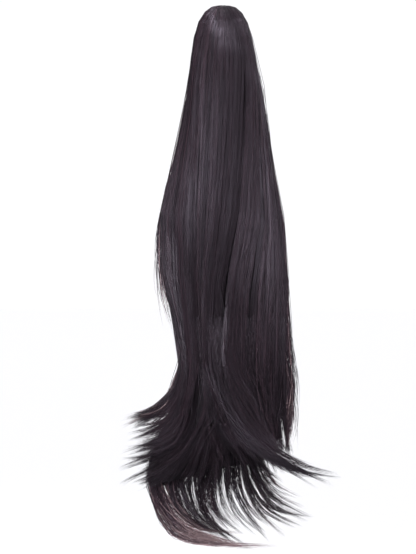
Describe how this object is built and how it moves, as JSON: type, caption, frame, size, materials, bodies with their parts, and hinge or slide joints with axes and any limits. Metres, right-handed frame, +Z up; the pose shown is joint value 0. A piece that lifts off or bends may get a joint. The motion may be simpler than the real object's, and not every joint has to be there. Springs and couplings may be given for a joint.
{
  "type": "claw clip ponytail hairpiece",
  "caption": "Long ponytail hairpiece: a domed fall of straight dark hair with flicked ends, sewn over a hidden claw clip that grips the wearer's own bun.",
  "frame": {"origin": "middle of the claw's grip, where the wearer's own bun sits", "axes": "+Z up as worn, -Y the outer side of the hair, +Y the side of the head, +X to the right of someone looking at the outer side"},
  "size_m": [0.2342, 0.0601, 0.602],
  "materials": {
    "hair": "glossy straight fibre, near black with a cool violet-brown cast",
    "claw": "moulded black plastic, glossy"
  },
  "bodies": {
    "root": {"claw_clip": "claw", "left_panel": "hair", "centre_panel": "hair", "right_panel": "hair", "under_panel": "hair"}
  },
  "joints": []
}
